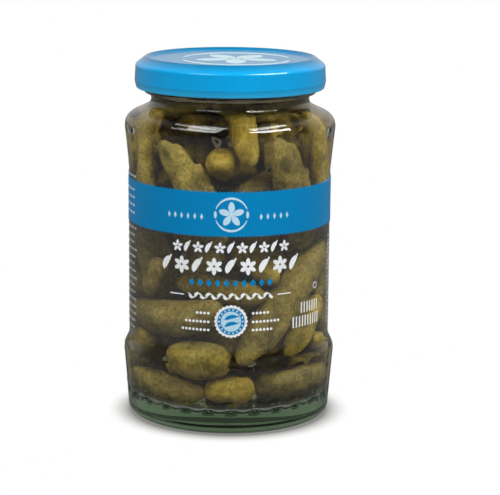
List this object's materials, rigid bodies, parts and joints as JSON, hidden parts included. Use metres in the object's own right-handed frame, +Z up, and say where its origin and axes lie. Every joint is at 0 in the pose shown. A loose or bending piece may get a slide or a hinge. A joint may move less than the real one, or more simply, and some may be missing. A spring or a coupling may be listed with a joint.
{
  "type": "pickle jar",
  "caption": "Filled glass jar with a fluted shoulder and base, a twist-off metal lid, and a clear wrapped label with a coloured band.",
  "frame": {"origin": "centre of the foot, on the surface that the jar stands on", "axes": "+Z up through the lid, -Y out of the label's front"},
  "size_m": [0.0766, 0.0766, 0.13],
  "materials": {
    "glass": "clear flint glass, fire-polished",
    "brine": "slightly cloudy pickling brine with pickled cucumbers",
    "lid_lacquer": "gloss blue lacquer on tinplate",
    "film": "clear self-adhesive film",
    "band_ink": "satin blue printing ink",
    "pickle_skin": "wet, bumpy skin of pickled cucumbers",
    "white_ink": "white printing ink"
  },
  "bodies": {
    "root": {"glass_jar": "glass", "brine": "brine", "lid": "lid_lacquer", "label_film": "film", "label_band": "band_ink"}
  },
  "joints": []
}
